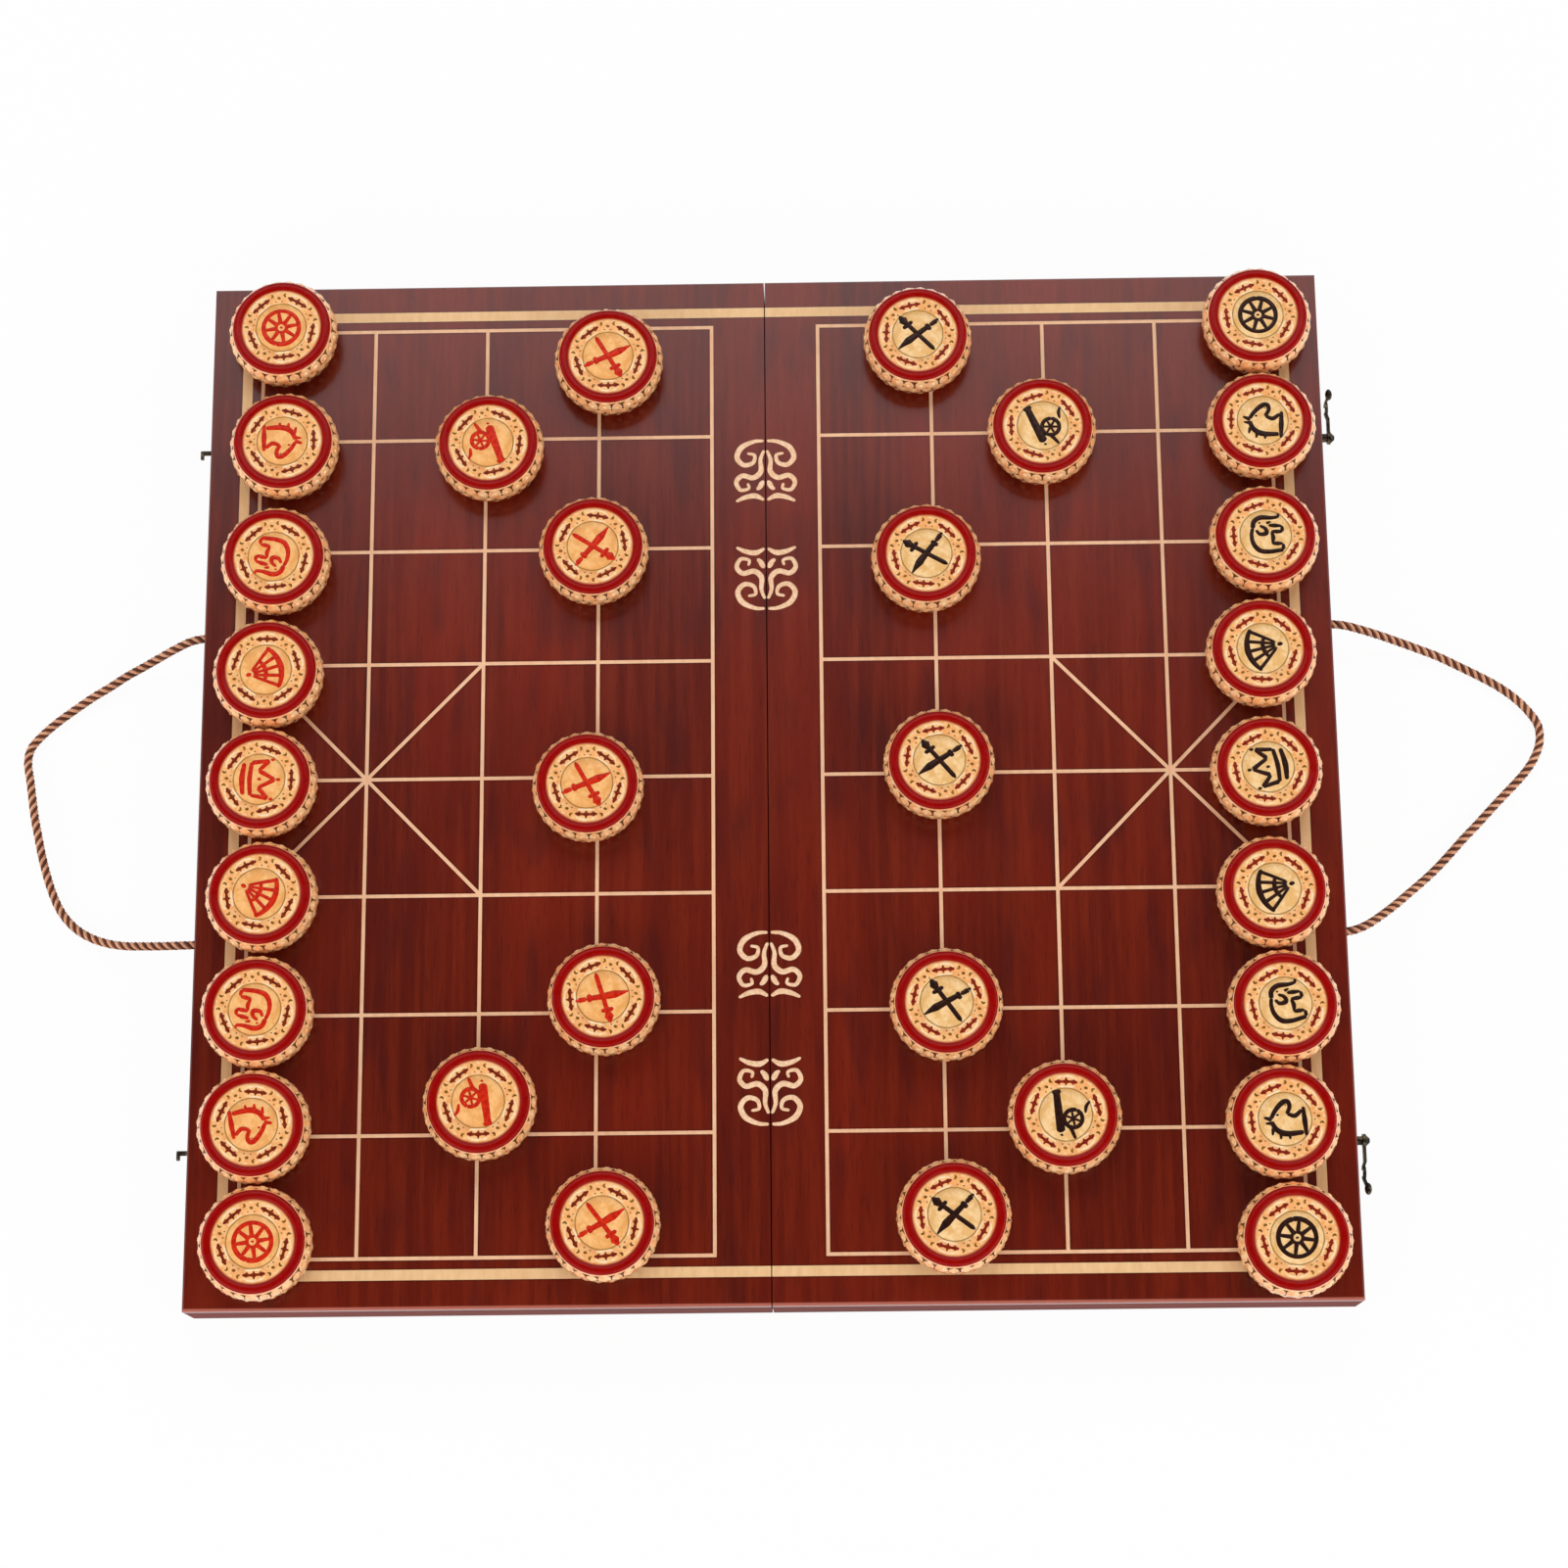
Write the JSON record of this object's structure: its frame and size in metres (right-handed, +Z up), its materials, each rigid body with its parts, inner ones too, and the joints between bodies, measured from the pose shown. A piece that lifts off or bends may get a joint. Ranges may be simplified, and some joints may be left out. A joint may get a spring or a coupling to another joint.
{
  "type": "folding xiangqi box",
  "caption": "Folding wooden box of two hinged trays whose outside is a xiangqi board, with hook latches, rope handles and loose round pieces set out for play.",
  "frame": {"origin": "on the table, below the middle of the seam between the two open trays", "axes": "+X to the black player's side, +Y to the back edge, +Z up out of the playing board"},
  "size_m": [0.6945, 0.472, 0.0498],
  "materials": {
    "board_veneer": "satin lacquer",
    "wall_wood": "satin lacquer",
    "gold_line": "satin gold",
    "hinge_metal": "satin",
    "latch_metal": "dark antique bronze",
    "rope": "twisted two-tone",
    "red_piece": "glossy lacquer",
    "black_piece": "glossy lacquer"
  },
  "bodies": {
    "left_half": {"left_board_panel": "board_veneer", "left_grid_lines": "gold_line", "left_outer_wall": "wall_wood", "left_hinge_wall": "wall_wood", "left_front_wall": "wall_wood", "left_back_wall": "wall_wood", "left_hinge_leaves": "hinge_metal", "hinge_pins": "hinge_metal", "left_hinge_screws": "hinge_metal", "latch_catches": "latch_metal", "catch_nails": "latch_metal", "left_rope_handle": "rope", "left_rope_knots": "rope"},
    "right_half": {"right_board_panel": "board_veneer", "right_grid_lines": "gold_line", "right_outer_wall": "wall_wood", "right_hinge_wall": "wall_wood", "right_front_wall": "wall_wood", "right_back_wall": "wall_wood", "right_hinge_leaves": "hinge_metal", "right_hinge_screws": "hinge_metal", "latch_bases": "latch_metal", "latch_nails": "latch_metal", "right_rope_handle": "rope", "right_rope_knots": "rope"},
    "front_latch": {"front_latch_hook": "latch_metal"},
    "back_latch": {"back_latch_hook": "latch_metal"},
    "red_general": {"red_general": "red_piece"},
    "red_advisor_front": {"red_advisor_front": "red_piece"},
    "red_advisor_back": {"red_advisor_back": "red_piece"},
    "red_elephant_front": {"red_elephant_front": "red_piece"},
    "red_elephant_back": {"red_elephant_back": "red_piece"},
    "red_horse_front": {"red_horse_front": "red_piece"},
    "red_horse_back": {"red_horse_back": "red_piece"},
    "red_chariot_front": {"red_chariot_front": "red_piece"},
    "red_chariot_back": {"red_chariot_back": "red_piece"},
    "red_cannon_front": {"red_cannon_front": "red_piece"},
    "red_cannon_back": {"red_cannon_back": "red_piece"},
    "red_soldier_1": {"red_soldier_1": "red_piece"},
    "red_soldier_2": {"red_soldier_2": "red_piece"},
    "red_soldier_3": {"red_soldier_3": "red_piece"},
    "red_soldier_4": {"red_soldier_4": "red_piece"},
    "red_soldier_5": {"red_soldier_5": "red_piece"},
    "black_general": {"black_general": "black_piece"},
    "black_advisor_front": {"black_advisor_front": "black_piece"},
    "black_advisor_back": {"black_advisor_back": "black_piece"},
    "black_elephant_front": {"black_elephant_front": "black_piece"},
    "black_elephant_back": {"black_elephant_back": "black_piece"},
    "black_horse_front": {"black_horse_front": "black_piece"},
    "black_horse_back": {"black_horse_back": "black_piece"},
    "black_chariot_front": {"black_chariot_front": "black_piece"},
    "black_chariot_back": {"black_chariot_back": "black_piece"},
    "black_cannon_front": {"black_cannon_front": "black_piece"},
    "black_cannon_back": {"black_cannon_back": "black_piece"},
    "black_soldier_1": {"black_soldier_1": "black_piece"},
    "black_soldier_2": {"black_soldier_2": "black_piece"},
    "black_soldier_3": {"black_soldier_3": "black_piece"},
    "black_soldier_4": {"black_soldier_4": "black_piece"},
    "black_soldier_5": {"black_soldier_5": "black_piece"}
  },
  "joints": [
    {"name": "fold", "type": "hinge", "parent": "left_half", "child": "right_half", "pos_m": [0, 0, 0.00175], "axis": [0, 1, 0], "range_deg": [0, 180]},
    {"name": "front_latch_turn", "type": "hinge", "parent": "right_half", "child": "front_latch", "pos_m": [0.2613, -0.164, 0.00885], "axis": [1, 0, 0], "range_deg": [-90, 90]},
    {"name": "back_latch_turn", "type": "hinge", "parent": "right_half", "child": "back_latch", "pos_m": [0.2613, 0.164, 0.00885], "axis": [-1, 0, 0], "range_deg": [-90, 90]},
    {"name": "lift_red_general", "type": "slide", "parent": "left_half", "child": "red_general", "axis": [0, 0, 1], "range_m": [0, 0.06]},
    {"name": "lift_red_advisor_front", "type": "slide", "parent": "left_half", "child": "red_advisor_front", "axis": [0, 0, 1], "range_m": [0, 0.06]},
    {"name": "lift_red_advisor_back", "type": "slide", "parent": "left_half", "child": "red_advisor_back", "axis": [0, 0, 1], "range_m": [0, 0.06]},
    {"name": "lift_red_elephant_front", "type": "slide", "parent": "left_half", "child": "red_elephant_front", "axis": [0, 0, 1], "range_m": [0, 0.06]},
    {"name": "lift_red_elephant_back", "type": "slide", "parent": "left_half", "child": "red_elephant_back", "axis": [0, 0, 1], "range_m": [0, 0.06]},
    {"name": "lift_red_horse_front", "type": "slide", "parent": "left_half", "child": "red_horse_front", "axis": [0, 0, 1], "range_m": [0, 0.06]},
    {"name": "lift_red_horse_back", "type": "slide", "parent": "left_half", "child": "red_horse_back", "axis": [0, 0, 1], "range_m": [0, 0.06]},
    {"name": "lift_red_chariot_front", "type": "slide", "parent": "left_half", "child": "red_chariot_front", "axis": [0, 0, 1], "range_m": [0, 0.06]},
    {"name": "lift_red_chariot_back", "type": "slide", "parent": "left_half", "child": "red_chariot_back", "axis": [0, 0, 1], "range_m": [0, 0.06]},
    {"name": "lift_red_cannon_front", "type": "slide", "parent": "left_half", "child": "red_cannon_front", "axis": [0, 0, 1], "range_m": [0, 0.06]},
    {"name": "lift_red_cannon_back", "type": "slide", "parent": "left_half", "child": "red_cannon_back", "axis": [0, 0, 1], "range_m": [0, 0.06]},
    {"name": "lift_red_soldier_1", "type": "slide", "parent": "left_half", "child": "red_soldier_1", "axis": [0, 0, 1], "range_m": [0, 0.06]},
    {"name": "lift_red_soldier_2", "type": "slide", "parent": "left_half", "child": "red_soldier_2", "axis": [0, 0, 1], "range_m": [0, 0.06]},
    {"name": "lift_red_soldier_3", "type": "slide", "parent": "left_half", "child": "red_soldier_3", "axis": [0, 0, 1], "range_m": [0, 0.06]},
    {"name": "lift_red_soldier_4", "type": "slide", "parent": "left_half", "child": "red_soldier_4", "axis": [0, 0, 1], "range_m": [0, 0.06]},
    {"name": "lift_red_soldier_5", "type": "slide", "parent": "left_half", "child": "red_soldier_5", "axis": [0, 0, 1], "range_m": [0, 0.06]},
    {"name": "lift_black_general", "type": "slide", "parent": "right_half", "child": "black_general", "axis": [0, 0, 1], "range_m": [0, 0.06]},
    {"name": "lift_black_advisor_front", "type": "slide", "parent": "right_half", "child": "black_advisor_front", "axis": [0, 0, 1], "range_m": [0, 0.06]},
    {"name": "lift_black_advisor_back", "type": "slide", "parent": "right_half", "child": "black_advisor_back", "axis": [0, 0, 1], "range_m": [0, 0.06]},
    {"name": "lift_black_elephant_front", "type": "slide", "parent": "right_half", "child": "black_elephant_front", "axis": [0, 0, 1], "range_m": [0, 0.06]},
    {"name": "lift_black_elephant_back", "type": "slide", "parent": "right_half", "child": "black_elephant_back", "axis": [0, 0, 1], "range_m": [0, 0.06]},
    {"name": "lift_black_horse_front", "type": "slide", "parent": "right_half", "child": "black_horse_front", "axis": [0, 0, 1], "range_m": [0, 0.06]},
    {"name": "lift_black_horse_back", "type": "slide", "parent": "right_half", "child": "black_horse_back", "axis": [0, 0, 1], "range_m": [0, 0.06]},
    {"name": "lift_black_chariot_front", "type": "slide", "parent": "right_half", "child": "black_chariot_front", "axis": [0, 0, 1], "range_m": [0, 0.06]},
    {"name": "lift_black_chariot_back", "type": "slide", "parent": "right_half", "child": "black_chariot_back", "axis": [0, 0, 1], "range_m": [0, 0.06]},
    {"name": "lift_black_cannon_front", "type": "slide", "parent": "right_half", "child": "black_cannon_front", "axis": [0, 0, 1], "range_m": [0, 0.06]},
    {"name": "lift_black_cannon_back", "type": "slide", "parent": "right_half", "child": "black_cannon_back", "axis": [0, 0, 1], "range_m": [0, 0.06]},
    {"name": "lift_black_soldier_1", "type": "slide", "parent": "right_half", "child": "black_soldier_1", "axis": [0, 0, 1], "range_m": [0, 0.06]},
    {"name": "lift_black_soldier_2", "type": "slide", "parent": "right_half", "child": "black_soldier_2", "axis": [0, 0, 1], "range_m": [0, 0.06]},
    {"name": "lift_black_soldier_3", "type": "slide", "parent": "right_half", "child": "black_soldier_3", "axis": [0, 0, 1], "range_m": [0, 0.06]},
    {"name": "lift_black_soldier_4", "type": "slide", "parent": "right_half", "child": "black_soldier_4", "axis": [0, 0, 1], "range_m": [0, 0.06]},
    {"name": "lift_black_soldier_5", "type": "slide", "parent": "right_half", "child": "black_soldier_5", "axis": [0, 0, 1], "range_m": [0, 0.06]}
  ]
}
